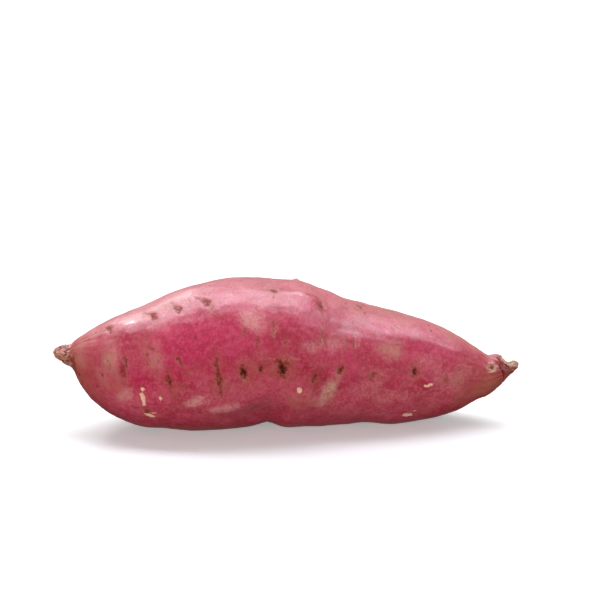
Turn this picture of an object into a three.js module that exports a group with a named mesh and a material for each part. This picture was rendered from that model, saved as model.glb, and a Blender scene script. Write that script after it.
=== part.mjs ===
// A red-skinned sweet potato lying on its side: one solid storage root.
// Millimetres, +Z up, +X from the stem end to the root tail, +Y to the back.
// The origin is at the middle of the bounding box, on the surface that the root lies on.
import * as THREE from "three";

// Driving sizes of the swollen body, between the stem neck and the root tail.
const BODY_LENGTH = 174;
const BODY_HEIGHT = 65;
const BODY_WIDTH = 62;

// The short woody stub where the root was broken from the plant.
const STUB_LENGTH = 7;
const STUB_DIAMETER = 7.6;
const STUB_RISE = 3.2; // how far the stub's end lies above the body's first slice
const NECK_DIAMETER = 10.4;

// The tapering tail that turns up at its tip.
const TAIL_LENGTH = 18;
const TAIL_RISE = 3.6; // how far the tip lies above the body's last slice
const TAIL_ROOT_DIAMETER = 23;
const TAIL_TIP_DIAMETER = 3.4;

// How much of the low side is pressed flat where the root lies on the surface.
const FLAT_DEPTH = 0.7;

// Mesh fineness: slices along the root, rounded slices at each tip, and sides of a slice.
const SLICES = 62;
const CAP_SLICES = 4;
const SIDES = 40;

// Slices through the body. "along" runs from 0 at the neck to 1 at the tail's root. "tall" and
// "mid" are shares of BODY_HEIGHT, and "wide" and "side" are shares of BODY_WIDTH: the slice's
// height, its centre's height above the lowest point, its width, and its centre's place towards
// the back.
const BODY = [
  { along: 0.02, tall: 0.285, wide: 0.31, mid: 0.47, side: -0.08 },
  { along: 0.05, tall: 0.45, wide: 0.47, mid: 0.44, side: -0.08 },
  { along: 0.1, tall: 0.63, wide: 0.65, mid: 0.425, side: -0.08 },
  { along: 0.16, tall: 0.775, wide: 0.79, mid: 0.42, side: -0.07 },
  { along: 0.23, tall: 0.88, wide: 0.9, mid: 0.445, side: -0.06 },
  { along: 0.31, tall: 0.965, wide: 0.97, mid: 0.475, side: -0.05 },
  { along: 0.39, tall: 0.995, wide: 1, mid: 0.5, side: -0.03 },
  { along: 0.48, tall: 0.97, wide: 1, mid: 0.505, side: -0.01 },
  { along: 0.57, tall: 0.96, wide: 0.97, mid: 0.48, side: 0.01 },
  { along: 0.64, tall: 0.885, wide: 0.92, mid: 0.44, side: 0.04 },
  { along: 0.72, tall: 0.81, wide: 0.85, mid: 0.4, side: 0.06 },
  { along: 0.8, tall: 0.75, wide: 0.77, mid: 0.37, side: 0.07 },
  { along: 0.88, tall: 0.655, wide: 0.65, mid: 0.35, side: 0.08 },
  { along: 0.95, tall: 0.52, wide: 0.51, mid: 0.335, side: 0.08 },
];

// Slices through the tail. "along" is a share of TAIL_LENGTH, "girth" is a share of the way from
// the tip's diameter, 0, to the tail root's, 1, and "rise" is a share of TAIL_RISE.
const TAIL = [
  { along: 0, girth: 1, rise: -0.2 },
  { along: 0.29, girth: 0.7, rise: -0.45 },
  { along: 0.52, girth: 0.57, rise: 0.05 },
  { along: 0.76, girth: 0.22, rise: 0.2 },
  { along: 1, girth: 0, rise: 1 },
];

// Broad swellings and hollows. "along" is a share of the whole root, "around" is in degrees from
// the top over the front, "reach" and "spread" are how far each fades along and round, in
// millimetres and degrees, "slant" turns it, in degrees round per millimetre along, and "rise" is
// its height in millimetres, below zero for a hollow. It fades out where the root is thin.
const RELIEF = [
  { name: "waist", along: 0.462, around: 172, reach: 6, spread: 42, slant: 1.6, rise: -2.3 },
  { name: "second waist", along: 0.662, around: 178, reach: 5, spread: 34, slant: 0.5, rise: -0.8 },
  { name: "front lobe", along: 0.36, around: 128, reach: 15, spread: 24, slant: 0, rise: 1.3 },
  { name: "side furrow", along: 0.5, around: 96, reach: 34, spread: 9, slant: 0.1, rise: -0.9 },
  { name: "shoulder", along: 0.545, around: 20, reach: 9, spread: 22, slant: 0.6, rise: 0.9 },
  { name: "shoulder dip", along: 0.6, around: 4, reach: 8, spread: 40, slant: 0.4, rise: -1.6 },
  { name: "stem step", along: 0.2, around: 352, reach: 8, spread: 36, slant: 0, rise: -0.9 },
  { name: "right flat", along: 0.77, around: 60, reach: 22, spread: 22, slant: 0, rise: -0.9 },
  { name: "back furrow", along: 0.42, around: 262, reach: 40, spread: 10, slant: -0.2, rise: -1.5 },
  { name: "back lobe", along: 0.3, around: 292, reach: 16, spread: 26, slant: 0, rise: 1.5 },
  { name: "back dip", along: 0.68, around: 286, reach: 10, spread: 30, slant: -1.2, rise: -1.6 },
  { name: "back swell", along: 0.8, around: 250, reach: 14, spread: 24, slant: 0, rise: 1.0 },
];

const FULL_RELIEF_RADIUS = 16; // the relief has its full height where the root is this thick

const SKIN = new THREE.MeshStandardMaterial({ color: 0xb03a5e, roughness: 0.5, metalness: 0 });

// The slices of the whole root, from the stub's end to the tail's tip, in millimetres.
function stations() {
  const body = BODY.map((slice) => ({
    x: STUB_LENGTH + slice.along * BODY_LENGTH,
    y: slice.side * BODY_WIDTH,
    z: slice.mid * BODY_HEIGHT,
    tall: slice.tall * BODY_HEIGHT,
    wide: slice.wide * BODY_WIDTH,
  }));
  const roundSlice = (near, x, diameter, rise) => ({
    x,
    y: near.y,
    z: near.z + rise,
    tall: diameter,
    wide: diameter,
  });
  const first = body[0];
  const last = body[body.length - 1];
  const tail = TAIL.map((slice) => {
    const x = STUB_LENGTH + BODY_LENGTH + slice.along * TAIL_LENGTH;
    const diameter = THREE.MathUtils.lerp(TAIL_TIP_DIAMETER, TAIL_ROOT_DIAMETER, slice.girth);
    return roundSlice(last, x, diameter, slice.rise * TAIL_RISE);
  });
  return [
    roundSlice(first, 0, STUB_DIAMETER, STUB_RISE),
    roundSlice(first, STUB_LENGTH * 0.5, STUB_DIAMETER, STUB_RISE * 0.9),
    roundSlice(first, STUB_LENGTH, NECK_DIAMETER, STUB_RISE * 0.5),
    ...body,
    ...tail,
  ];
}

// Distances along the root at which slices are cut, with closer ones round each tip.
function cuts(length) {
  const caps = [STUB_DIAMETER / 2, TAIL_TIP_DIAMETER / 2];
  const found = [];
  for (let i = 1; i <= CAP_SLICES; i++) {
    const angle = (Math.PI / 2) * (i / CAP_SLICES);
    found.push(caps[0] * (1 - Math.cos(angle)));
    found.push(length - caps[1] * (1 - Math.cos(angle)));
  }
  for (let i = 1; i < SLICES; i++) {
    found.push(caps[0] + ((length - caps[0] - caps[1]) * i) / SLICES);
  }
  return found.sort((a, b) => a - b);
}

// How far a tip's slice has grown to its full size, rounded like a dome.
function dome(distance, radius) {
  const left = 1 - Math.min(distance / radius, 1);
  return Math.sqrt(1 - left * left);
}

// The relief at one point, in millimetres, from its place along and round the root.
function relief(distance, degrees, length) {
  let rise = 0;
  for (const swell of RELIEF) {
    const along = distance - swell.along * length;
    const turned = degrees - swell.around - swell.slant * along;
    const around = THREE.MathUtils.euclideanModulo(turned + 180, 360) - 180;
    rise += swell.rise * Math.exp(-((along / swell.reach) ** 2) - (around / swell.spread) ** 2);
  }
  return rise;
}

// The skin as upright rings of points round a bent centre line, closed by a point at each tip.
function skinGeometry() {
  const slices = stations();
  const spine = new THREE.CatmullRomCurve3(
    slices.map((s) => new THREE.Vector3(s.x, s.y, s.z)),
  );
  const sizes = new THREE.CatmullRomCurve3(
    slices.map((s) => new THREE.Vector3(s.x, s.tall, s.wide)),
  );
  const length = spine.getLength();
  const rings = cuts(length);
  const points = [...spine.getPoint(0).toArray()];
  for (const distance of rings) {
    const t = spine.getUtoTmapping(distance / length);
    const centre = spine.getPoint(t);
    const size = sizes.getPoint(t);
    const tipped = dome(distance, STUB_DIAMETER / 2) * dome(length - distance, TAIL_TIP_DIAMETER / 2);
    for (let side = 0; side < SIDES; side++) {
      const degrees = (360 * side) / SIDES;
      const angle = THREE.MathUtils.degToRad(degrees);
      const reach = new THREE.Vector3(0, -Math.sin(angle) * size.z, Math.cos(angle) * size.y);
      reach.divideScalar(2);
      const thin = Math.min(1, reach.length() / FULL_RELIEF_RADIUS);
      reach.setLength(reach.length() + relief(distance, degrees, length) * thin);
      points.push(...reach.multiplyScalar(tipped).add(centre).toArray());
    }
  }
  points.push(...spine.getPoint(1).toArray());

  const faces = [];
  const at = (ring, side) => 1 + ring * SIDES + (side % SIDES);
  const lastPoint = points.length / 3 - 1;
  for (let side = 0; side < SIDES; side++) {
    faces.push(0, at(0, side + 1), at(0, side));
    for (let ring = 0; ring + 1 < rings.length; ring++) {
      faces.push(at(ring, side), at(ring + 1, side + 1), at(ring + 1, side));
      faces.push(at(ring, side), at(ring, side + 1), at(ring + 1, side + 1));
    }
    faces.push(lastPoint, at(rings.length - 1, side), at(rings.length - 1, side + 1));
  }
  const geometry = new THREE.BufferGeometry();
  geometry.setAttribute("position", new THREE.Float32BufferAttribute(points, 3));
  geometry.setIndex(faces);
  return geometry;
}

// Presses the low side flat on the surface at z = 0, and centres the root over the origin.
function layDown(geometry) {
  geometry.computeBoundingBox();
  const box = geometry.boundingBox;
  const middle = box.getCenter(new THREE.Vector3());
  geometry.translate(-middle.x, -middle.y, -box.min.z - FLAT_DEPTH);
  const place = geometry.getAttribute("position");
  for (let i = 0; i < place.count; i++) place.setZ(i, Math.max(place.getZ(i), 0));
  geometry.computeVertexNormals();
  return geometry;
}

const root = new THREE.Mesh(layDown(skinGeometry()), SKIN);
root.name = "sweet_potato";

const sweetPotato = new THREE.Group();
sweetPotato.add(root);

export default sweetPotato;
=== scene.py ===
# A red-skinned sweet potato on a pale floor, in soft studio light.
# The skin is one fine mesh drawn through the CAD root's own rings of corners.
import math

import bpy
import numpy as np
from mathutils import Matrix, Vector, noise


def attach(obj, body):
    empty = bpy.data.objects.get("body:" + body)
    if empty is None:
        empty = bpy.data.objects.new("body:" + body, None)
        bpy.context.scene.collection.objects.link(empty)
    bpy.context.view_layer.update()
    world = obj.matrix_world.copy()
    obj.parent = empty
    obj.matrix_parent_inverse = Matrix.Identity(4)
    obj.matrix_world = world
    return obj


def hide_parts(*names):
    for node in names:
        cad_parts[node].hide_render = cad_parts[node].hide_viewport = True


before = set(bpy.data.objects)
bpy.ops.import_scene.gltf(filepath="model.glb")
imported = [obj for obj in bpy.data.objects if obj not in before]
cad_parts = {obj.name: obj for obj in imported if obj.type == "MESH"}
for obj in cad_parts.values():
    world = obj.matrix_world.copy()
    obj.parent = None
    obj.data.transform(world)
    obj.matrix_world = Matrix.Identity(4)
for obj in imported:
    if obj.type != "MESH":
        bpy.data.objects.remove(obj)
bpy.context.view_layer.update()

MM = 0.001

# The fine mesh: rings along the root and corners round it.
RINGS = 400
SIDES = 236
END_REACH = 16.0  # mm from each tip in which the rings lie closer together
END_CLOSENESS = 1.4  # how much closer

# Patterns that run round the root are laid out on a drum of this radius, in mm.
DRUM_RADIUS = 31.0

# How far from its middle, in mm, a soft patch may reach, and what a point beyond a mark reads.
MARK_REACH = 30.0
FAR = 99.0

# ---------------------------------------------------------------- marks on the skin
# Every mark lies at a place: mm along from the root's middle, towards the tail, and degrees round
# from the top over the front. Sizes are in mm: its width along the root and its height round it.
# "lean" turns it, in degrees.

# Scars where side roots grew: a dark slit in a shallow dimple, with a brown edge.
# (along, round, width, height, lean, depth, darkness)
PITS = [
    # the row along the front
    (-49, 90, 2.2, 6.4, -4, 0.4, 0.65),
    (-17.7, 90, 2.6, 5.6, -6, 0.7, 0.95),
    (-10.8, 87, 1.6, 3.2, 0, 0.35, 0.75),
    (-1.7, 87, 3.2, 6.4, -6, 1.0, 1.0),
    (11, 91, 2.0, 4.2, 0, 0.35, 0.65),
    (22, 82, 2.2, 3.4, 0, 0.45, 0.75),
    (36, 83, 2.0, 2.5, 0, 0.3, 0.6),
    (53.5, 76, 2.6, 4.6, -4, 0.5, 0.75),
    (67, 85, 2.0, 2.6, 0, 0.25, 0.5),
    (80, 68, 1.6, 2.2, 0, 0.2, 0.3),
    # the row near the top
    (-75, 22, 2.4, 4.8, -18, 0.35, 0.4),
    (-56, 28, 2.6, 6.2, -26, 0.4, 0.45),
    (-46, 27, 2.6, 5.8, -30, 0.4, 0.5),
    (-34, 28, 2.8, 6.2, -34, 0.45, 0.45),
    (-6, 20, 2.8, 3.6, -50, 0.3, 0.5),
    (14, 27, 2.4, 5.4, -24, 0.4, 0.55),
    (31, 8, 1.8, 3.6, -30, 0.3, 0.6),
    # towards the stem
    (-88, 110, 1.4, 2.0, 0, 0.35, 0.7),
    (-68.5, 77, 2.2, 6.6, -6, 0.5, 0.35),
    (-78, 86, 1.4, 1.8, 0, 0.2, 0.35),
    (-80, 104, 1.4, 1.8, 0, 0.2, 0.35),
]

# Cracks in the skin's corky layer: thin, brown and hardly sunk.
# (along, round, width, height, lean, strength)
CRACKS = [
    (-28, 91, 2.5, 18.0, -2, 0.75),
    (-28, 95, 1.8, 9.0, 2, 0.85),
    (-67.2, 66, 1.8, 6.6, -6, 0.7),
    (-59, 20, 1.3, 3.6, -34, 0.45),
    (-38, 20, 1.2, 4.4, -42, 0.5),
    (-48, 20, 1.1, 3.0, -38, 0.45),
    (-32, 17, 1.0, 3.4, 50, 0.5),
    (-41, 22, 1.0, 4.0, -10, 0.4),
    (-51, 20, 1.4, 2.4, -20, 0.4),
    (-6, 27, 1.3, 2.6, 10, 0.5),
    (-12, 66, 1.9, 6.0, 0, 0.6),
    (-18, 58, 1.8, 4.0, 18, 0.55),
    (-6, 55, 1.8, 7.0, 4, 0.55),
    (-1, 67, 1.5, 5.0, 4, 0.5),
    (-4, 82, 2.0, 4.6, -50, 0.75),
    (-1.6, 82, 5.0, 2.6, 0, 0.75),
    (14, 54, 1.0, 8.0, 2, 0.75),
    (28, 56, 1.0, 7.0, 6, 0.6),
    (25, 58, 0.9, 5.0, 2, 0.4),
    (16, 60, 0.9, 4.0, 0, 0.4),
    (12, 26, 0.9, 2.4, -20, 0.55),
    (46, 27, 0.9, 4.4, -46, 0.7),
    (33, 2, 1.2, 4.0, -40, 0.65),
    (29, 13, 1.2, 3.4, -44, 0.6),
    (-44, 76, 1.7, 6.6, -26, 0.6),
    (-42, 84, 1.8, 5.0, -30, 0.5),
    (-56, 61, 2.0, 4.4, -40, 0.55),
    (-58, 68, 2.0, 8.0, 6, 0.4),
    (-54, 80, 1.2, 4.0, -60, 0.35),
    (-75, 66, 1.6, 4.0, 0, 0.5),
    (-74, 75, 1.3, 3.6, -20, 0.45),
    (-42, 97, 1.6, 4.6, 0, 0.35),
    (-59, 121, 2.6, 3.4, 8, 0.75),
    (-61, 95, 1.8, 4.0, 0, 0.35),
    (12, 101, 1.4, 5.0, 4, 0.4),
    (84, 62, 1.6, 2.4, 0, 0.35),
    (46, 45, 2.0, 2.6, 0, 0.4),
]

# Places where the thin skin is scraped off and the pale flesh shows.
# (along, round, width, height, lean, strength)
SCUFFS = [
    (-60, 105, 2.0, 6.4, -3, 1.0),
    (-60, 96, 1.6, 2.0, 0, 0.8),
    (-58, 126, 5.0, 1.8, 12, 0.95),
    (-56, 122, 2.6, 1.1, 12, 0.7),
    (-53, 105, 1.6, 2.0, 0, 0.8),
    (-65, 102, 2.6, 1.6, 20, 0.35),
    (5, 105, 3.0, 1.9, 38, 1.0),
    (60, 91, 4.0, 1.3, -8, 0.85),
    (51, 131, 5.0, 2.6, 14, 0.8),
    (54, 125, 2.0, 1.2, 10, 0.6),
]

# Places tinged tan and olive by the soil, in fine grains.
# (along, round, width, height, lean, strength)
STAINS = [
    (-75, 68, 9, 16, 0, 0.75),
    (-72, 92, 16, 9, 10, 0.5),
    (-58, 66, 12, 16, 0, 0.5),
    (-28, 92, 6, 20, 0, 0.75),
    (-8, 86, 28, 12, 4, 0.75),
    (-30, 84, 20, 8, 0, 0.3),
    (-6, 56, 5, 12, 0, 0.5),
    (-32, 33, 3, 9, 0, 0.5),
    (-5, 23, 6, 8, 0, 0.5),
    (8, 112, 22, 9, 0, 0.4),
    (43, 56, 11, 8, 0, 0.5),
    (32, 9, 18, 10, 0, 0.6),
    (-50, 20, 18, 6, 0, 0.45),
    (38, 86, 8, 5, 0, 0.3),
    (18, 104, 5, 14, 16, 0.35),
    (58, 128, 14, 6, 0, 0.35),
    (86, 120, 22, 14, 0, 0.6),
    (-88, 60, 10, 14, 0, 0.5),
    (44, 352, 36, 16, 0, 0.6),
    (72, 352, 34, 14, 0, 0.6),
]

# Soft patches of a dusty film, pale pink with a little tan in it. Some are painted highlights and
# painted light.
# (along, round, width, height, lean, strength)
DUST_AND_PAINTED_LIGHT = [
    # painted highlights on a ridge low on the front, with a dusty film in them
    (-37, 111, 12, 5, -16, 1.4),
    (-27.5, 118, 18, 4.4, -6, 1.3),
    # a painted highlight low on the stem end's front
    (-67, 103, 10, 5, -30, 1.0),
    # dust
    (17.5, 102, 6, 15, 16, 1.5),
    # a painted highlight on the stem end's upper side
    (-76, 46, 7, 5, 0, 0.5),
    # dust
    (13, 112, 8, 8, 0, 0.5),
    (-15, 49, 11, 10, 20, 1.0),
    (-11, 34, 10, 6, 0, 0.5),
    (10, 66, 9, 5, 8, 0.6),
    (20, 60, 9, 8, 0, 0.6),
    (43, 56, 13, 9, 10, 0.5),
    (-73, 62, 8, 9, 0, 0.75),
    (-55, 66, 8, 12, 0, 0.5),
    (-78, 88, 10, 10, 0, 0.35),
    (-82, 38, 6, 5, 0, 0.3),
    (6, 108, 18, 5, -4, 0.25),
    # painted light: the lower front beside the stem is painted paler where more light falls
    (-66, 112, 22, 14, 0, 0.3),
    # dust
    (34, 96, 18, 14, 10, 0.35),
    (46, 104, 34, 9, 0, 0.4),
    (70, 92, 20, 14, 0, 0.4),
    (-70, 108, 16, 7, -20, 0.4),
    (-52, 40, 12, 6, 0, 0.3),
    (60, 62, 14, 8, 0, 0.3),
]

# Smears of dried soil, cream and tan.
# (along, round, width, height, lean, strength)
SMEARS = [
    (17.8, 102, 6, 12, 12, 0.5),
    (-76, 66, 5, 5, 0, 0.3),
    (13, 60, 6, 5, 10, 0.25),
    (44, 58, 8, 4, 0, 0.15),
]

# Swellings and hollows that the CAD root lacks. Each has a place (along, round), how far it reaches
# along and round it, its lean and its rise, which is below zero for a hollow.
SWELLS = [
    ((-11, 129), 12, 8, 0, -1.9),  # the hollow over the waist
    ((-24, 120), 15, 4, 6, 0.5),  # the fold beside it
    ((7, 20), 10, 3.0, -6, 0.5),  # the ridge on the shoulder
    ((3.5, 346), 1.1, 1.3, 0, 0.9),  # a little root stump on the crest
    ((-68, 27), 4.5, 4, 0, 0.45),  # the knoll that catches the light
    ((-56, 46), 14, 8, 0, 0.9),  # the fuller upper side near the stem
    ((-86, 50), 4, 3, 0, 0.6),  # the swelling behind the stem
    ((26, 150), 9, 10, 0, -0.7),  # the hollow low on the tail's half
    ((-8, 168), 7, 8, 0, 0.8),  # the underside beside the waist
    ((19.3, 346), 5.5, 20, 0, 1.5),  # fills the CAD's dip behind the shoulder
]

# Dark creases across the tail.
# (along, round, width, height, lean)
TAIL_CREASES = [
    (91.4, 30, 1.5, 7.0, -24),
    (92.0, 62, 1.6, 9.0, -30),
    (94.6, 44, 1.0, 5.0, -34),
    (93.0, 92, 1.1, 6.0, -20),
    (92.4, 300, 1.2, 7.0, 10),
    (94.0, 262, 1.0, 6.0, 16),
]

# The round scar on the tail's shoulder, and the torn edge on top of its tip.
TAIL_SCAR = (87.5, 52)
TAIL_SCAR_EYE = (87.7, 51)
TORN_EDGE = (95.4, 6)

# Places where the skin shines more.
# (along, round, width, height, strength)
SHINE = [
    (-66.5, 26, 7, 6, 1.0),
    (-26, 29, 12, 5, 0.5),
    (7, 20, 20, 4, 0.8),
    (-72, 105, 5, 4, 0.6),
]

# Pale hairline scratches and fibres: start and end, each (along, round), and strength.
SCRATCH_DOTS = 40
SCRATCHES = [
    ((-9, 104), (9, 114), 0.3),
    ((-11, 79), (5, 77), 0.3),
    ((28.6, 50), (28.2, 60), 0.8),
    ((30.2, 51), (29.6, 58), 0.6),
    ((23.2, 53), (24.8, 57), 0.6),
    ((14.4, 52), (14.2, 60), 0.6),
    ((-5.4, 57), (-5.8, 62), 0.6),
]

# Tiny brown pores, most of them on the upper half.
PORES = 150
PORE_ALONG = (-84, 84)
PORE_SPREAD = 75  # degrees to each side of the top within which two thirds of them lie
PORE_SIZE = (0.8, 1.5)  # mm
PORE_SEED = 23

# The hidden sides carry the same kinds of mark. Their scars lie in rows, each (round, count), over
# one stretch of the root, in mm along.
HIDDEN_ROWS = [(322, 9), (276, 9), (232, 8), (188, 5)]
ROW_START = -76
ROW_LENGTH = 150

# The other hidden marks are scattered: how many, and the ranges of their places along and round.
HIDDEN_CRACKS = (34, (-82, 84), (175, 350))
HIDDEN_SCUFFS = (9, (-70, 75), (185, 345))
HIDDEN_DUST = (26, (-85, 88), (175, 350))
HIDDEN_STAINS = (16, (-85, 88), (175, 350))
HIDDEN_SEED = 11


# ---------------------------------------------------------------- the skin's form
def cad_rings(mesh):
    """The CAD root's corners in mm: one array per upright ring, stem end first."""
    corners = np.unique(np.round([v.co / MM for v in mesh.vertices], 3), axis=0)
    apart = 0.02  # rings lie farther apart than this, and a ring's own corners don't
    cuts = np.nonzero(np.diff(corners[:, 0]) > apart)[0] + 1
    return np.split(corners, cuts)


def in_order(ring):
    """A ring's corners in order round it, from the bottom over the back, the top and the front."""
    middle = ring.mean(axis=0)
    turn = np.arctan2(ring[:, 1] - middle[1], middle[2] - ring[:, 2])
    half_step = math.pi / len(ring)
    return ring[np.argsort((turn + half_step) % math.tau)]


def finer_round(rings, count):
    """Rings with more corners, on smooth closed curves through the given ones."""
    waves = np.fft.rfft(rings, axis=1)
    waves[:, -1] *= 0.5  # the finest wave counts twice once there are more corners
    return np.fft.irfft(waves, n=count, axis=1) * (count / rings.shape[1])


def spline(knots, values, places):
    """Smooth curves through the values at the knots, read at other places."""
    gap = np.diff(knots)
    slope = np.diff(values, axis=0) / gap[:, None]
    # the bend at each knot is solved for first, with none at the two ends
    system = np.eye(len(knots))
    pull = np.zeros_like(values)
    for i in range(1, len(knots) - 1):
        system[i, i - 1:i + 2] = gap[i - 1], 2 * (gap[i - 1] + gap[i]), gap[i]
        pull[i] = 6 * (slope[i] - slope[i - 1])
    bend = np.linalg.solve(system, pull)
    first = np.clip(np.searchsorted(knots, places) - 1, 0, len(gap) - 1)
    last = first + 1
    wide = gap[first][:, None]
    after = (places - knots[first])[:, None]
    before = wide - after
    curved = (bend[first] * before**3 + bend[last] * after**3) / (6 * wide)
    falling = (values[first] / wide - bend[first] * wide / 6) * before
    rising = (values[last] / wide - bend[last] * wide / 6) * after
    return curved + falling + rising


def hump(value, middle, width):
    """1 where the value is at the middle, fading smoothly to each side."""
    return np.exp(-(((value - middle) / width) ** 2))


def ramp(value, low, high):
    """0 below low and 1 above high, with a soft step between; low may be the larger."""
    share = np.clip((value - low) / (high - low), 0, 1)
    return share * share * (3 - 2 * share)


def signed(degrees):
    """Angles as -180 to 180 degrees."""
    return (degrees + 180) % 360 - 180


def ring_places(length):
    """Distances along the skin at which the fine rings lie, closer together near the tips."""
    samples = 4000
    fine = np.linspace(0, length, samples)
    ends = hump(fine, 0, END_REACH) + hump(fine, length, END_REACH)
    passed = np.cumsum(1 + END_CLOSENESS * ends)
    wanted = np.linspace(passed[0], passed[-1], RINGS + 2)[1:-1]
    return np.interp(wanted, passed, fine)


def smooth_grid(mesh):
    """The bare skin: RINGS x SIDES points in mm, and the two tips."""
    rings = cad_rings(mesh)
    tips = rings[0][0], rings[-1][0]
    body = np.array([in_order(ring) for ring in rings[1:-1]])
    tip_rings = [np.broadcast_to(tip, body[:1].shape) for tip in tips]
    closed = np.concatenate([tip_rings[0], body, tip_rings[1]])
    finer = finer_round(closed, SIDES)
    steps = np.linalg.norm(np.diff(finer, axis=0), axis=2).mean(axis=1)
    passed = np.concatenate([[0], np.cumsum(steps)])
    flat = spline(passed, finer.reshape(len(finer), -1), ring_places(passed[-1]))
    return flat.reshape(RINGS, SIDES, 3), tips


def directions(grid):
    """Unit vectors along the skin, round it and out of it, at every point."""
    along = np.gradient(grid, axis=0)
    around = np.roll(grid, -1, axis=1) - np.roll(grid, 1, axis=1)
    out = np.cross(around, along)
    return [v / np.linalg.norm(v, axis=2, keepdims=True) for v in (along, around, out)]


def noise_field(points, size, octaves, seed, stretch=(1, 1, 1)):
    """Smooth noise of about -1 to 1 whose lumps are about size mm across."""
    smoothness = 0.6
    finer_by = 2.1
    seed_step = 17.3  # each seed reads the noise at a place of its own
    scaled = points.reshape(-1, 3) / (np.array(stretch) * size) + seed * seed_step
    values = [noise.fractal(Vector(p), smoothness, finer_by, octaves) for p in scaled]
    return np.array(values).reshape(points.shape[:2])


class Skin:
    """The fine grid with its height changes and its painted masks."""

    MASKS = (
        "pit", "crack", "stain", "scuff", "dust_and_painted_light", "worn",
        "stub", "dry", "cream", "vivid", "shine",
    )

    def __init__(self, grid):
        self.bare = grid
        self.grid = grid
        self.along, self.around, self.out = directions(grid)
        self.lift = np.zeros(grid.shape[:2])
        self.masks = {name: np.zeros(grid.shape[:2]) for name in self.MASKS}
        middle = grid.mean(axis=1)
        arm = grid - middle[:, None]
        self.x = middle[:, 0]
        self.turn = np.degrees(np.arctan2(-arm[..., 1], arm[..., 2])) % 360
        angle = np.radians(self.turn)
        self.drum = np.stack(
            [grid[..., 0], -DRUM_RADIUS * np.sin(angle), DRUM_RADIUS * np.cos(angle)], axis=2
        )
        self.ragged = noise_field(grid, 1.6, 3, seed=1)
        self.patchy = noise_field(grid, 7.0, 3, seed=2)

    def nearest(self, along, turn):
        """The grid index of a place on the skin."""
        ring = int(np.argmin(abs(self.x - along)))
        off = signed(self.turn[ring] - turn)
        return ring, int(np.argmin(abs(off)))

    def offsets(self, place, lean, near=MARK_REACH):
        """Every point's distance in mm from a place: along, round, and whether it is near."""
        ring, side = self.nearest(*place)
        arm = self.bare - self.bare[ring, side]
        along = arm @ self.along[ring, side]
        around = arm @ self.around[ring, side]
        cosine = math.cos(math.radians(lean))
        sine = math.sin(math.radians(lean))
        close = np.linalg.norm(arm, axis=2) < near
        return along * cosine + around * sine, around * cosine - along * sine, close

    def paint(self, name, strength):
        """Adds to a mask, which keeps the strongest paint at each point."""
        self.masks[name] = np.maximum(self.masks[name], np.clip(strength, 0, 1))

    def spot(self, place, width, height, lean, rough):
        """How far each point is from a ragged oval's middle, where 1 is its edge."""
        along, around, close = self.offsets(place, lean, 1.6 * max(width, height) + 1)
        reach = np.hypot(along / (width / 2), around / (height / 2))
        reach = reach + rough * self.ragged * np.minimum(reach, 1.5)
        return np.where(close, reach, FAR)

    def patch(self, place, width, height, lean, blotchy, rough):
        """The same for a large soft patch, whose outline is blotchy as well as rough."""
        along, around, close = self.offsets(place, lean)
        reach = np.hypot(along / (width / 2), around / (height / 2))
        reach = reach + blotchy * self.patchy + rough * self.ragged
        return np.where(close, reach, FAR)

    def settle(self):
        """Moves the points by the height changes, but never below the floor."""
        self.grid = self.bare + self.out * self.lift[..., None]
        self.grid[..., 2] = np.maximum(self.grid[..., 2], 0)


def add_pit(skin, along, turn, width, height, lean, depth, dark):
    """A scar: a dark slit in a dimple with a low rim, a corky edge and a stain round it."""
    slit = skin.spot((along, turn), width, height, lean, 0.55)
    dimple = skin.spot((along, turn), width * 2.6, height * 1.5, lean, 0.1)
    skin.lift -= depth * 0.7 * ramp(slit, 1.2, 0.1)
    skin.lift -= depth * 0.5 * ramp(dimple, 1.2, 0.1)
    skin.lift += depth * 0.2 * hump(slit, 1.8, 0.5)
    skin.paint("pit", dark * ramp(slit, 1.5, 0.1))
    halo = skin.spot((along, turn), width * 1.5, height * 1.4, lean, 0.7)
    skin.paint("crack", (0.62 + 0.3 * dark) * ramp(halo, 1.6, 0.3))
    around = skin.spot((along, turn), width * 2.6, height * 2.2, lean, 0.7)
    skin.paint("stain", dark * ramp(around, 1.4, 0.2))


def add_crack(skin, along, turn, width, height, lean, strength):
    """A thin corky line, darker in its middle, with a stain round it."""
    line = skin.spot((along, turn), width, height, lean, 0.8)
    skin.lift -= 0.2 * strength * ramp(line, 1.2, 0.2)
    skin.paint("crack", 1.3 * strength * ramp(line, 1.4, 0.4))
    skin.paint("pit", 0.6 * strength * ramp(line, 1.0, 0.2))
    around = skin.spot((along, turn), width * 2.2, height * 1.3, lean, 0.7)
    skin.paint("stain", strength * ramp(around, 1.3, 0.2))


def add_stain(skin, along, turn, width, height, lean, strength):
    """A blotchy stain of soil."""
    reach = skin.patch((along, turn), width, height, lean, 0.5, 0.25)
    skin.paint("stain", 1.2 * strength * ramp(reach, 1.5, 0.3))


def add_scuff(skin, along, turn, width, height, lean, strength):
    """A scraped place, a little sunk, with the skin curled up at its edge."""
    bare = skin.spot((along, turn), width, height, lean, 0.35)
    skin.lift -= 0.14 * ramp(bare, 1.1, 0.8)
    skin.lift += 0.1 * hump(bare, 1.25, 0.25)
    skin.paint("scuff", strength * ramp(bare, 1.12, 0.8))


def add_patch(skin, along, turn, width, height, lean, strength, mask="dust_and_painted_light"):
    """A soft patch of dust, of painted light, or of another mask's paint."""
    reach = skin.patch((along, turn), width, height, lean, 0.45, 0.2)
    skin.paint(mask, strength * ramp(reach, 1.5, 0.1))


def add_scratch(skin, start, end, strength):
    """A pale hairline between two places, a little bowed."""
    for share in np.linspace(0, 1, SCRATCH_DOTS):
        along = start[0] + share * (end[0] - start[0])
        turn = start[1] + share * (end[1] - start[1]) + 1.5 * math.sin(share * math.pi)
        line = skin.spot((along, turn), 0.9, 1.0, 0, 0.3)
        skin.paint("dust_and_painted_light", strength * ramp(line, 1.2, 0.2))


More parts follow.
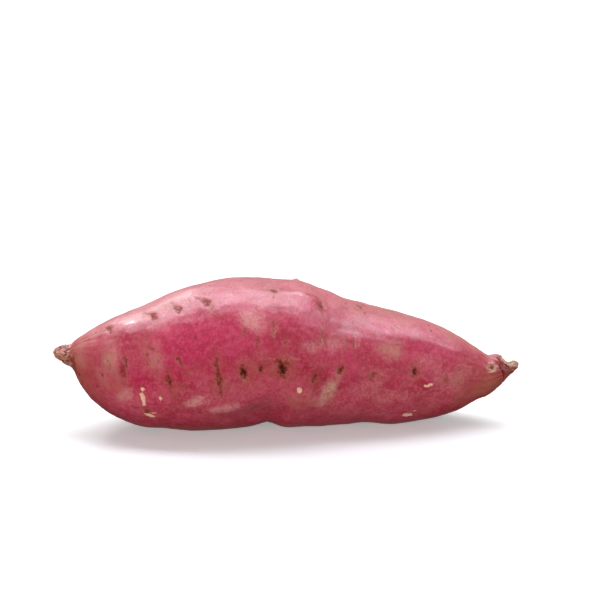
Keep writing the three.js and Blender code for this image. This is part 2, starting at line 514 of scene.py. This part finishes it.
def front_marks(skin):
    """Every mark that has a place of its own."""
    for pit in PITS:
        add_pit(skin, *pit)
    for crack in CRACKS:
        add_crack(skin, *crack)
    for scuff in SCUFFS:
        add_scuff(skin, *scuff)
    for dust_and_painted_light in DUST_AND_PAINTED_LIGHT:
        # dust, with the painted highlights and painted light among it
        add_patch(skin, *dust_and_painted_light)
    for smear in SMEARS:
        add_patch(skin, *smear, "cream")
    for stain in STAINS:
        add_stain(skin, *stain)
    for scratch in SCRATCHES:
        add_scratch(skin, *scratch)


def pores(skin):
    """Tiny brown dots, a little sunk."""
    chance = np.random.default_rng(PORE_SEED)
    for _ in range(PORES):
        place = chance.uniform(*PORE_ALONG), chance.normal(0, PORE_SPREAD) % 360
        size = chance.uniform(*PORE_SIZE)
        dot = skin.spot(place, size, size * chance.uniform(1, 1.6), 0, 0.6)
        strength = chance.uniform(0.5, 1.0)
        skin.paint("crack", strength * ramp(dot, 1.3, 0.2))
        skin.lift -= 0.1 * ramp(dot, 1.2, 0.2)


def scattered(chance, count, along, turn):
    """Random places on the skin, each drawn when it is asked for."""
    for _ in range(count):
        yield chance.uniform(*along), chance.uniform(*turn)


def hidden_marks(skin):
    """Rows of scars, and scattered cracks, scuffs, dust and stains, on the sides that face away."""
    chance = np.random.default_rng(HIDDEN_SEED)
    for turn, count in HIDDEN_ROWS:
        for step in range(count):
            along = ROW_START + ROW_LENGTH * (step + chance.uniform(0.2, 0.8)) / count
            place = along, turn + chance.normal(0, 4)
            size = chance.uniform(0.6, 1.3)
            lean = chance.normal(0, 14)
            add_pit(skin, *place, 1.5 * size, 3.6 * size, lean, 0.5 * size, 0.5 + 0.35 * size)
    for place in scattered(chance, *HIDDEN_CRACKS):
        height = chance.uniform(2, 7)
        width = chance.uniform(0.7, 1.2)
        lean = chance.normal(0, 18)
        add_crack(skin, *place, width, height, lean, chance.uniform(0.3, 0.8))
    for place in scattered(chance, *HIDDEN_SCUFFS):
        width = chance.uniform(1.2, 4)
        height = chance.uniform(1, 3)
        lean = chance.uniform(-40, 40)
        add_scuff(skin, *place, width, height, lean, 0.85)
    for place in scattered(chance, *HIDDEN_DUST):
        size = chance.uniform(6, 15)
        lean = chance.uniform(-40, 40)
        add_patch(skin, *place, size, size * 0.7, lean, chance.uniform(0.3, 0.8))
    for place in scattered(chance, *HIDDEN_STAINS):
        size = chance.uniform(7, 16)
        add_stain(skin, *place, size, size, 0, chance.uniform(0.3, 0.7))


def broad_form(skin):
    """Lumps and long shallow ribs, as the root swelled unevenly in the ground."""
    skin.lift += 0.42 * noise_field(skin.bare, 21, 2, seed=3)
    skin.lift += 0.19 * noise_field(skin.bare, 8, 2, seed=4)
    skin.lift += 0.13 * noise_field(skin.drum, 5, 2, stretch=(6, 1, 1), seed=5)
    skin.lift += 0.035 * noise_field(skin.drum, 2.2, 2, stretch=(0.8, 3, 3), seed=6)
    for place, width, height, lean, rise in SWELLS:
        along, around, close = skin.offsets(place, lean, 2 * MARK_REACH)
        swell = rise * hump(along, 0, width) * hump(around, 0, height)
        skin.lift += np.where(close, swell, 0)


def stem_end(skin):
    """The broken stub: a crease where it meets the root, a ragged end and wrinkles behind it."""
    from_tip = skin.bare[..., 0] - skin.bare[0, 0, 0]
    uneven = from_tip + 1.2 * skin.patchy
    front = ramp(abs(skin.turn - 115), 80, 25)
    top = ramp(abs(signed(skin.turn)), 100, 20)
    # a narrow neck, and a swollen, ragged end
    skin.lift -= 0.35 * ramp(from_tip, 10, 6) * ramp(from_tip, 0, 3)
    skin.lift -= 0.6 * top * ramp(from_tip, 9, 4.5)
    skin.lift += 0.35 * noise_field(skin.bare, 2.8, 3, seed=7) * ramp(from_tip, 8, 5)
    skin.lift += 0.55 * hump(from_tip, 4.4, 2.0)
    # the crease and the wrinkles
    crease = hump(uneven, 8.4, 1.7) * front
    wrinkle = noise_field(skin.bare, 1.7, 2, stretch=(3, 1, 1), seed=8)
    skin.lift -= 0.6 * crease
    skin.lift += 0.05 * wrinkle * ramp(from_tip, 24, 9)
    skin.paint("crack", 0.95 * crease)
    skin.paint("pit", 0.25 * crease)
    # the stub's own colour, and worn, dusty skin beside it
    skin.paint("stub", ramp(uneven, 8.6, 6.6))
    skin.paint("worn", 0.9 * ramp(from_tip + 5 * skin.patchy, 32, 8))
    skin.paint("dust_and_painted_light", 0.8 * hump(uneven, 12.5, 2.6) * ramp(abs(skin.turn - 40), 70, 25))
    # torn holes and soil in the stub's end
    holes = ramp(noise_field(skin.bare, 1.9, 2, seed=9), 0.12, 0.4) * ramp(from_tip, 8, 5.5)
    skin.lift -= 0.4 * holes
    skin.paint("crack", 0.8 * holes)
    skin.paint("pit", 0.3 * holes)
    skin.paint("stain", 0.9 * ramp(from_tip, 8, 5) * (1 - 0.6 * top))


def tail_end(skin):
    """The tail: a scar on its shoulder, dark creases and ribs, and a pale torn edge."""
    to_tip = skin.bare[-1, 0, 0] - skin.bare[..., 0]
    low = ramp(abs(skin.turn - 180), 120, 50)
    high = ramp(abs(signed(skin.turn)), 90, 30)
    # a thinner tip, with ribs and wrinkles along it
    skin.lift -= 0.9 * low * ramp(to_tip, 13, 5) * ramp(to_tip, 0, 4)
    skin.lift -= 0.5 * high * ramp(to_tip, 9, 6) * ramp(to_tip, 1, 5)
    ribs = noise_field(skin.drum, 3.6, 2, stretch=(7, 1, 1), seed=10)
    skin.lift += 0.32 * ribs * ramp(to_tip, 12, 7) * ramp(to_tip, 0, 3)
    skin.lift += 0.1 * ribs * ramp(to_tip, 26, 10) * ramp(to_tip, 7, 12)
    wrinkle = noise_field(skin.bare, 1.7, 2, stretch=(2, 1, 1), seed=12)
    skin.lift += 0.14 * wrinkle * ramp(to_tip, 24, 10)
    skin.paint("worn", 0.8 * ramp(to_tip + 6 * skin.patchy, 34, 6))
    skin.paint("dry", 0.85 * ramp(to_tip + 1.5 * skin.patchy + 2.5 * low, 8.6, 6.4))
    skin.paint("dry", 0.5 * ramp(to_tip + 3 * skin.patchy, 15, 7))
    for along, turn, width, height, lean in TAIL_CREASES:
        slit = skin.spot((along, turn), width, height, lean, 0.5)
        skin.lift -= 0.5 * ramp(slit, 1.3, 0.2)
        skin.paint("pit", 0.55 * ramp(slit, 1.3, 0.2))
        skin.paint("crack", 0.7 * ramp(slit, 1.9, 0.5))
    # the scar: a pale raised rim round a corky eye
    scar = skin.spot(TAIL_SCAR, 4.6, 4.2, 0, 0.5)
    eye = skin.spot(TAIL_SCAR_EYE, 2.6, 2.8, 0, 0.6)
    skin.lift += 0.3 * hump(scar, 1.0, 0.4) - 0.3 * ramp(scar, 0.8, 0.1)
    skin.paint("cream", 0.7 * ramp(scar, 1.25, 0.6))
    skin.paint("crack", ramp(eye, 1.3, 0.3))
    # the torn edge and the pale tip
    torn = skin.spot(TORN_EDGE, 9.0, 5.0, 0, 0.5)
    skin.lift -= 0.35 * ramp(torn, 1.1, 0.3)
    skin.lift += 0.3 * hump(torn, 1.25, 0.2)
    skin.paint("cream", ramp(torn, 1.1, 0.7))
    skin.paint("cream", 0.8 * ramp(to_tip + 0.8 * skin.ragged, 1.6, 0.8))


def base_tone(skin):
    """The skin's tone: deep clean magenta in places, painted light low beside the stem, a thin dusty
    film and shiny spots.
    """
    # the deepest magenta is on the front's upper half; the bright magenta low beside the stem is
    # painted light
    deep = ramp(abs(skin.x + 38)[:, None] / 48 + 0.2 * skin.patchy, 1.2, 0.3)
    deep = deep * ramp(abs(skin.turn - 68), 42, 10)
    low_stem = np.hypot((skin.x[:, None] + 64) / 22, (skin.turn - 108) / 26)
    skin.paint("vivid", 0.28 + 0.5 * deep + 0.4 * noise_field(skin.bare, 16, 3, seed=13))
    # painted light: a brighter magenta patch low beside the stem, where more light falls
    skin.paint("vivid", 0.9 * ramp(low_stem + 0.2 * skin.patchy, 1.3, 0.4))
    # dust lies along the top and the back's upper side, and thinly along the front's lower side
    off_top = abs(signed(skin.turn + 28))
    off_low = abs(skin.turn - 112)
    skin.paint("dust_and_painted_light", 0.55 * ramp(off_top + 12 * skin.patchy, 67, 35))
    skin.paint("dust_and_painted_light", 0.18 * ramp(off_low + 9 * skin.patchy, 30, 8))
    for along, turn, width, height, strength in SHINE:
        shiny = skin.spot((along, turn), width, height, 0, 0.5)
        skin.paint("shine", strength * ramp(shiny, 1.3, 0.3))


# ---------------------------------------------------------------- the mesh
def skin_mesh(skin, tips):
    """One closed mesh of the grid and the two tips, with its masks and an unrolled UV map."""
    points = np.concatenate([skin.grid.reshape(-1, 3), tips]) * MM
    first_tip = RINGS * SIDES
    last_tip = first_tip + 1
    last_ring = first_tip - SIDES
    faces = []
    spots = []
    for side in range(SIDES):
        beside = (side + 1) % SIDES
        left = side / SIDES
        right = (side + 1) / SIDES
        for ring in range(RINGS - 1):
            start = ring * SIDES
            near = (ring + 1) / (RINGS + 1)
            far = (ring + 2) / (RINGS + 1)
            faces.append((start + side, start + beside, start + SIDES + beside, start + SIDES + side))
            spots += [(near, left), (near, right), (far, right), (far, left)]
        near = 1 / (RINGS + 1)
        far = RINGS / (RINGS + 1)
        faces.append((first_tip, beside, side))
        spots += [(0, left), (near, right), (near, left)]
        faces.append((last_tip, last_ring + side, last_ring + beside))
        spots += [(1, left), (far, left), (far, right)]
    mesh = bpy.data.meshes.new("skin")
    mesh.from_pydata(points.tolist(), [], faces)
    unrolled = mesh.uv_layers.new(name="OFBake")
    unrolled.data.foreach_set("uv", np.array(spots, dtype=np.float32).ravel())
    for name, values in skin.masks.items():
        layer = mesh.attributes.new(name, "FLOAT", "POINT")
        tip_values = values[0].mean(), values[-1].mean()
        layer.data.foreach_set("value", np.append(values.ravel(), tip_values).astype(np.float32))
    tip_drums = [[tip[0], 0, DRUM_RADIUS] for tip in tips]
    drums = np.concatenate([skin.drum.reshape(-1, 3), tip_drums])
    layer = mesh.attributes.new("drum", "FLOAT_VECTOR", "POINT")
    layer.data.foreach_set("vector", drums.astype(np.float32).ravel())
    mesh.polygons.foreach_set("use_smooth", [True] * len(mesh.polygons))
    mesh.update()
    return mesh


# ---------------------------------------------------------------- the skin's material
def srgb(red, green, blue):
    """A colour given as 0 to 255 screen values, as the linear colour that nodes use."""
    shares = [channel / 255 for channel in (red, green, blue)]
    return [s / 12.92 if s <= 0.04045 else ((s + 0.055) / 1.055) ** 2.4 for s in shares] + [1.0]


VIVID = srgb(196, 21, 77)
CRIMSON = srgb(168, 28, 54)
ROSE = srgb(208, 70, 104)
PALE_PINK = srgb(222, 140, 146)
TAN = srgb(204, 144, 112)
WORN = srgb(180, 84, 72)
STAIN = srgb(176, 106, 80)
RUST = srgb(132, 50, 34)
PIT = srgb(66, 20, 10)
FLESH = srgb(250, 200, 168)
CREAM = srgb(212, 192, 162)
STUB = srgb(218, 156, 140)
DRY = srgb(128, 52, 42)


# How fine each noise pattern on the skin is, in lumps per metre.
CLOUDS = 60
BLOTCHES = 190
DENTS = 380
MOTTLE = 430
SPECKLE = 900
STAIN_GRAINS = 1300
GRAIN = 2100

# A mix node has sockets for each kind of data. These are its factor's and its colours'.
MIX_SHARE = 0
MIX_FIRST = 6
MIX_SECOND = 7
MIX_RESULT = 2


class Nodes:
    """Short ways to add and join the nodes of one material."""

    def __init__(self, material):
        self.tree = material.node_tree
        self.shader = self.tree.nodes["Principled BSDF"]

    def join(self, source, socket):
        """Links a socket to another one, or gives it a value."""
        if isinstance(source, bpy.types.NodeSocket):
            self.tree.links.new(source, socket)
        else:
            socket.default_value = source

    def mask(self, name):
        """A mask that was painted on the mesh, or the place on the drum."""
        node = self.tree.nodes.new("ShaderNodeAttribute")
        node.attribute_name = name
        return node.outputs["Vector" if name == "drum" else "Fac"]

    def place(self):
        """The place on the object, in metres."""
        return self.tree.nodes.new("ShaderNodeTexCoord").outputs["Object"]

    def scaled(self, vector, scale):
        """The vector with each axis multiplied by a number."""
        node = self.tree.nodes.new("ShaderNodeVectorMath")
        node.operation = "MULTIPLY"
        self.join(vector, node.inputs[0])
        node.inputs[1].default_value = scale
        return node.outputs[0]

    def turned(self, vector, angles, size):
        """The vector turned by some angles and then divided by a size along each axis."""
        node = self.tree.nodes.new("ShaderNodeMapping")
        node.vector_type = "TEXTURE"
        self.join(vector, node.inputs["Vector"])
        node.inputs["Rotation"].default_value = [math.radians(angle) for angle in angles]
        node.inputs["Scale"].default_value = size
        return node.outputs[0]

    def noise(self, vector, scale, detail, rough=0.55):
        """Noise of about 0.2 to 0.8, with more octaves for more detail."""
        node = self.tree.nodes.new("ShaderNodeTexNoise")
        self.join(vector, node.inputs["Vector"])
        node.inputs["Scale"].default_value = scale
        node.inputs["Detail"].default_value = detail
        node.inputs["Roughness"].default_value = rough
        return node.outputs["Fac"]

    def math(self, operation, *values):
        """The result of one operation on sockets or numbers."""
        node = self.tree.nodes.new("ShaderNodeMath")
        node.operation = operation
        for value, socket in zip(values, node.inputs):
            self.join(value, socket)
        return node.outputs[0]

    def between(self, value, low, high, to_low=0.0, to_high=1.0):
        """A soft step from one number to another as the value goes from low to high."""
        node = self.tree.nodes.new("ShaderNodeMapRange")
        node.interpolation_type = "SMOOTHSTEP"
        self.join(value, node.inputs["Value"])
        node.inputs["From Min"].default_value = low
        node.inputs["From Max"].default_value = high
        node.inputs["To Min"].default_value = to_low
        node.inputs["To Max"].default_value = to_high
        return node.outputs[0]

    def mix(self, share, first, second):
        """The first colour, with a share of the second over it."""
        node = self.tree.nodes.new("ShaderNodeMix")
        node.data_type = "RGBA"
        node.clamp_factor = True
        self.join(share, node.inputs[MIX_SHARE])
        self.join(first, node.inputs[MIX_FIRST])
        self.join(second, node.inputs[MIX_SECOND])
        return node.outputs[MIX_RESULT]

    def bump(self, height, distance, strength, under=None):
        """Fine relief, on top of the relief under it."""
        node = self.tree.nodes.new("ShaderNodeBump")
        node.inputs["Distance"].default_value = distance
        node.inputs["Strength"].default_value = strength
        self.join(height, node.inputs["Height"])
        if under is not None:
            self.join(under, node.inputs["Normal"])
        return node.outputs[0]


class Patterns:
    """The noise patterns that several parts of the skin's material share."""

    def __init__(self, n):
        self.place = n.place()
        self.drum = n.mask("drum")
        self.fibres = n.noise(n.scaled(self.drum, (0.05, 0.6, 0.6)), 1.0, 4)
        self.rings = n.noise(n.scaled(self.drum, (1.3, 0.34, 0.34)), 1.0, 5, 0.65)
        self.clouds = n.noise(self.place, CLOUDS, 5, 0.6)
        self.blotches = n.noise(self.place, BLOTCHES, 4, 0.6)
        self.mottle = n.noise(self.place, MOTTLE, 4, 0.65)
        self.speckle = n.noise(self.place, SPECKLE, 4, 0.7)
        # the speckle as about -0.6 to 0.6, which tears the edges of marks
        self.torn = n.math("MULTIPLY_ADD", self.speckle, 2.0, -1.0)


def clean_colour(n, patterns):
    """Magenta and crimson skin with rose freckles, faint rings, long fibres and pale hairs."""
    # pattern, where its colour starts, where it is strongest, how strong, and the colour
    layers = [
        (patterns.clouds, 0.4, 0.7, 0.5, ROSE),
        (patterns.blotches, 0.5, 0.68, 0.5, ROSE),
        (patterns.blotches, 0.48, 0.34, 0.45, CRIMSON),
        (patterns.mottle, 0.5, 0.66, 0.7, ROSE),
        (patterns.mottle, 0.48, 0.34, 0.65, CRIMSON),
        (patterns.speckle, 0.5, 0.62, 0.75, ROSE),
        (patterns.speckle, 0.48, 0.36, 0.7, CRIMSON),
        (patterns.rings, 0.52, 0.78, 0.22, PALE_PINK),
        (patterns.fibres, 0.52, 0.75, 0.25, CRIMSON),
    ]
    colour = n.mix(n.between(n.mask("vivid"), 0.2, 0.8), CRIMSON, VIVID)
    for pattern, start, full, strength, paint in layers:
        colour = n.mix(n.between(pattern, start, full, 0, strength), colour, paint)
    rising = n.noise(n.turned(patterns.drum, (0, 28, 0), (0.42, 9, 9)), 1.0, 2)
    falling = n.noise(n.turned(patterns.drum, (0, -38, 0), (9, 9, 0.4)), 1.0, 2)
    hairs = n.math("MAXIMUM", n.between(rising, 0.62, 0.7), n.between(falling, 0.63, 0.71))
    hairs = n.math("MULTIPLY", hairs, n.between(patterns.clouds, 0.46, 0.6, 0, 0.36))
    return n.mix(hairs, colour, PALE_PINK)


def weathered_colour(n, patterns, colour):
    """Adds the pale film of dust and painted highlights, the worn and dry ends, the stub's own
    colour, soil stains and smears.
    """
    pale_film = n.math("MULTIPLY", n.mask("dust_and_painted_light"), n.between(patterns.speckle, 0.34, 0.6, 0.4, 1.1))
    # the pale pink film: dust, and also painted highlights and painted light on the lower front
    colour = n.mix(n.math("MULTIPLY", pale_film, 0.88), colour, PALE_PINK)
    tan = n.math("MULTIPLY", n.mask("dust_and_painted_light"), n.between(patterns.blotches, 0.42, 0.62))
    colour = n.mix(n.math("MULTIPLY", tan, 0.4), colour, TAN)
    worn = n.math("MULTIPLY", n.mask("worn"), n.between(patterns.speckle, 0.28, 0.6, 0.5, 1))
    colour = n.mix(n.math("MULTIPLY", worn, 0.75), colour, WORN)
    dry = n.math("MULTIPLY", n.mask("dry"), n.between(patterns.mottle, 0.36, 0.56, 0.4, 1))
    colour = n.mix(dry, colour, DRY)
    stub = n.mix(n.between(patterns.mottle, 0.47, 0.58, 0, 0.85), STUB, RUST)
    colour = n.mix(n.mask("stub"), colour, stub)
    grains = n.between(n.noise(patterns.place, STAIN_GRAINS, 3, 0.6), 0.44, 0.6)
    stain = n.math("MULTIPLY", n.mask("stain"), n.between(patterns.blotches, 0.36, 0.6, 0.5, 1.0))
    stain = n.math("MULTIPLY", stain, n.between(grains, 0, 1, 0.4, 1.0))
    colour = n.mix(stain, colour, STAIN)
    smear = n.mix(n.between(patterns.mottle, 0.4, 0.6), CREAM, STAIN)
    return n.mix(n.mask("cream"), colour, smear)


def tears(n, patterns):
    """How corky, how scraped and how deeply pitted the skin is, with torn edges."""
    cork = n.between(n.math("ADD", n.mask("crack"), patterns.torn), 0.25, 1.0)
    cork = n.math("MULTIPLY", cork, n.between(n.mask("crack"), 0.04, 0.3))
    bare = n.math("ADD", n.mask("scuff"), n.math("MULTIPLY", patterns.torn, 0.3))
    bare = n.between(bare, 0.3, 0.62)
    hole = n.between(n.math("ADD", n.mask("pit"), patterns.torn), 0.25, 0.95)
    hole = n.math("MULTIPLY", hole, n.between(n.mask("pit"), 0.05, 0.4))
    return cork, bare, hole


def torn_colour(n, patterns, colour, cork, bare, hole):
    """Adds rusty cork, pale bare flesh and dark holes."""
    flesh = n.mix(n.between(patterns.speckle, 0.48, 0.8), FLESH, PALE_PINK)
    colour = n.mix(n.math("MULTIPLY", cork, 0.85), colour, RUST)
    colour = n.mix(bare, colour, flesh)
    return n.mix(hole, colour, PIT)


def set_gloss(n, patterns, cork, hole):
    """Uneven roughness, and a waxy coat that is almost missing from the corky scars."""
    rough = n.between(patterns.speckle, 0.3, 0.7, 0.34, 0.5)
    rough = n.math("ADD", rough, n.between(patterns.blotches, 0.35, 0.65, -0.04, 0.12))
    changes = [
        (n.mask("dust_and_painted_light"), 0.12),
        (cork, 0.35),
        (n.mask("worn"), 0.12),
        (hole, 0.3),
        (n.mask("shine"), -0.2),
    ]
    for share, change in changes:
        rough = n.math("ADD", rough, n.math("MULTIPLY", share, change))
    n.join(rough, n.shader.inputs["Roughness"])
    wax = n.between(n.math("MAXIMUM", cork, hole), 0, 0.8, 0.7, 0.05)
    n.join(wax, n.shader.inputs["Coat Weight"])


def set_relief(n, patterns):
    """Relief too fine for the mesh: shallow dents, rings and grain."""
    normal = n.bump(n.noise(patterns.place, DENTS, 4, 0.6), 0.35 * MM, 0.3)
    normal = n.bump(patterns.rings, 0.3 * MM, 0.2, normal)
    normal = n.bump(n.noise(patterns.place, GRAIN, 2, 0.6), 0.12 * MM, 0.3, normal)
    n.join(normal, n.shader.inputs["Normal"])
    n.join(normal, n.shader.inputs["Coat Normal"])


def skin_material():
    """Dusty, mottled red skin with a thin wax, from the painted masks and noise."""
    material = bpy.data.materials.new("sweet_potato_skin")
    material.use_nodes = True
    n = Nodes(material)
    patterns = Patterns(n)
    cork, bare, hole = tears(n, patterns)
    colour = weathered_colour(n, patterns, clean_colour(n, patterns))
    n.join(torn_colour(n, patterns, colour, cork, bare, hole), n.shader.inputs["Base Color"])
    set_gloss(n, patterns, cork, hole)
    set_relief(n, patterns)
    n.shader.inputs["Specular IOR Level"].default_value = 1.0
    n.shader.inputs["Coat Roughness"].default_value = 0.36
    n.shader.inputs["Sheen Weight"].default_value = 0.06
    n.shader.inputs["Sheen Roughness"].default_value = 0.4
    n.shader.inputs["Sheen Tint"].default_value = srgb(255, 200, 180)
    return material


def make_root():
    """The whole root, which stands for the CAD's plain one."""
    grid, tips = smooth_grid(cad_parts["sweet_potato"].data)
    skin = Skin(grid)
    broad_form(skin)
    base_tone(skin)
    stem_end(skin)
    tail_end(skin)
    front_marks(skin)
    hidden_marks(skin)
    pores(skin)
    skin.settle()
    root = bpy.data.objects.new("sweet_potato_skin", skin_mesh(skin, tips))
    bpy.context.scene.collection.objects.link(root)
    root.data.materials.append(skin_material())
    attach(root, "root")
    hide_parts("sweet_potato")


# ---------------------------------------------------------------- the studio
# The floor, in metres: how far it lies flat, how gently it turns up, and the wall's top.
FLOOR_REACH = 6.0
FLOOR_BEND = 3.0
WALL_TOP = 9.0
BEND_STEPS = 12
FLOOR_SIDES = 64

# How strongly the floor glows near the root and far from it, and the distances, in metres, between
# which the glow grows.
GLOW_NEAR = 0.28
GLOW_FAR = 1.1
GLOW_START = 0.3
GLOW_END = 2.5


def floor_mesh():
    """A flat floor that turns up into a wall far away, all round."""
    bends = np.linspace(0, math.pi / 2, BEND_STEPS)
    profile = [
        (FLOOR_REACH + FLOOR_BEND * math.sin(bend), FLOOR_BEND * (1 - math.cos(bend)))
        for bend in bends
    ]
    profile.append((FLOOR_REACH + FLOOR_BEND, WALL_TOP))
    points = [(0, 0, 0)]
    for reach, height in profile:
        for side in range(FLOOR_SIDES):
            angle = math.tau * side / FLOOR_SIDES
            points.append((reach * math.cos(angle), reach * math.sin(angle), height))
    faces = []
    for side in range(FLOOR_SIDES):
        beside = (side + 1) % FLOOR_SIDES
        faces.append((0, 1 + side, 1 + beside))
        for ring in range(len(profile) - 1):
            inner = 1 + ring * FLOOR_SIDES
            outer = inner + FLOOR_SIDES
            faces.append((inner + side, outer + side, outer + beside, inner + beside))
    mesh = bpy.data.meshes.new("floor")
    mesh.from_pydata(points, [], faces)
    mesh.polygons.foreach_set("use_smooth", [True] * len(mesh.polygons))
    return mesh


def floor_material():
    """Pale and matt. The far parts, which the lamps hardly reach, glow to stay as pale."""
    material = bpy.data.materials.new("pale_floor")
    material.use_nodes = True
    tree = material.node_tree
    shader = tree.nodes["Principled BSDF"]
    shader.inputs["Base Color"].default_value = (0.86, 0.86, 0.86, 1)
    shader.inputs["Roughness"].default_value = 0.9
    shader.inputs["Emission Color"].default_value = (1, 1, 1, 1)
    place = tree.nodes.new("ShaderNodeTexCoord").outputs["Object"]
    reach = tree.nodes.new("ShaderNodeVectorMath")
    reach.operation = "LENGTH"
    tree.links.new(place, reach.inputs[0])
    glow = tree.nodes.new("ShaderNodeMapRange")
    glow.inputs["From Min"].default_value = GLOW_START
    glow.inputs["From Max"].default_value = GLOW_END
    glow.inputs["To Min"].default_value = GLOW_NEAR
    glow.inputs["To Max"].default_value = GLOW_FAR
    tree.links.new(reach.outputs["Value"], glow.inputs["Value"])
    tree.links.new(glow.outputs[0], shader.inputs["Emission Strength"])
    return material


def make_floor():
    """The floor, which lets the world's dim lower half light the root's underside."""
    floor = bpy.data.objects.new("floor", floor_mesh())
    bpy.context.scene.collection.objects.link(floor)
    floor.data.materials.append(floor_material())
    floor.visible_diffuse = False
    floor.visible_glossy = False
    floor.visible_shadow = False


def make_lamp(name, place, size, power, aim=(0, 0, 0), glossy=True, tint=(1, 1, 1)):
    """A rectangular soft box that faces a point."""
    lamp = bpy.data.lights.new(name, "AREA")
    lamp.shape = "RECTANGLE"
    lamp.size = size[0]
    lamp.size_y = size[1]
    lamp.energy = power
    lamp.color = tint
    body = bpy.data.objects.new(name, lamp)
    body.location = place
    body.rotation_euler = (Vector(aim) - Vector(place)).to_track_quat("-Z", "Y").to_euler()
    body.visible_glossy = glossy
    bpy.context.scene.collection.objects.link(body)


# The world's light from above, and from below, where it stands for light off the floor.
SKY = (0.2, 0.2, 0.2, 1)
GROUND = (0.062, 0.042, 0.029, 1)
HORIZON = 0.05  # how far above and below level the two mix


def make_world():
    """Even pale light from above, and a little warm light from below."""
    world = bpy.data.worlds.new("studio")
    world.use_nodes = True
    tree = world.node_tree
    place = tree.nodes.new("ShaderNodeTexCoord").outputs["Generated"]
    height = tree.nodes.new("ShaderNodeSeparateXYZ")
    tree.links.new(place, height.inputs[0])
    share = tree.nodes.new("ShaderNodeMapRange")
    share.inputs["From Min"].default_value = -HORIZON
    share.inputs["From Max"].default_value = HORIZON
    tree.links.new(height.outputs["Z"], share.inputs["Value"])
    mix = tree.nodes.new("ShaderNodeMix")
    mix.data_type = "RGBA"
    mix.inputs[MIX_FIRST].default_value = GROUND
    mix.inputs[MIX_SECOND].default_value = SKY
    tree.links.new(share.outputs[0], mix.inputs[MIX_SHARE])
    tree.links.new(mix.outputs[MIX_RESULT], tree.nodes["Background"].inputs["Color"])
    bpy.context.scene.world = world


def make_light():
    """Soft boxes above and at the sides. Only the first two show as highlights on the skin."""
    make_lamp("overhead", (0.05, 0.26, 1.15), (2.0, 0.38), 15.2, tint=(0.9, 0.91, 1))
    make_lamp("glint", (-0.42, 0.72, 0.64), (0.12, 0.12), 1.5)
    make_lamp("crown", (0, 0.9, 1.0), (1.2, 0.5), 5.5, glossy=False)
    make_lamp("left_fill", (-1.35, -1.0, 0.15), (0.8, 0.4), 16.5, glossy=False)
    make_lamp("right_fill", (1.2, -1.2, 0.15), (0.8, 0.4), 14.3, glossy=False)
    make_lamp("back_fill", (0.3, 1.6, 0.35), (0.8, 0.5), 5, glossy=False)
    make_lamp("floor_wash", (0, 1.0, 1.25), (2.0, 1.0), 26, (0, 2.4, 0), glossy=False)
    make_world()
    bpy.context.scene.view_settings.view_transform = "Standard"


# The camera: degrees above level, metres from what it looks at, lens in mm, and how far the frame
# is shifted, as shares of its width.
CAMERA_HEIGHT = 17
CAMERA_DISTANCE = 0.9
CAMERA_AIM = (0, 0, 0.030)
LENS = 127.1
SENSOR_WIDTH = 36
SHIFT_ACROSS = 0.017
SHIFT_UP = 0.1006


def make_camera():
    """A long lens, a little above the root and square to it."""
    elevation = math.radians(CAMERA_HEIGHT)
    back = Vector((0, -math.cos(elevation), math.sin(elevation)))
    lens = bpy.data.cameras.new("camera")
    lens.sensor_width = SENSOR_WIDTH
    lens.lens = LENS
    lens.shift_x = SHIFT_ACROSS
    lens.shift_y = SHIFT_UP
    camera = bpy.data.objects.new("camera", lens)
    camera.location = Vector(CAMERA_AIM) + back * CAMERA_DISTANCE
    camera.rotation_euler = (-back).to_track_quat("-Z", "Y").to_euler()
    bpy.context.scene.collection.objects.link(camera)
    bpy.context.scene.camera = camera


make_camera()
make_floor()
make_light()
make_root()
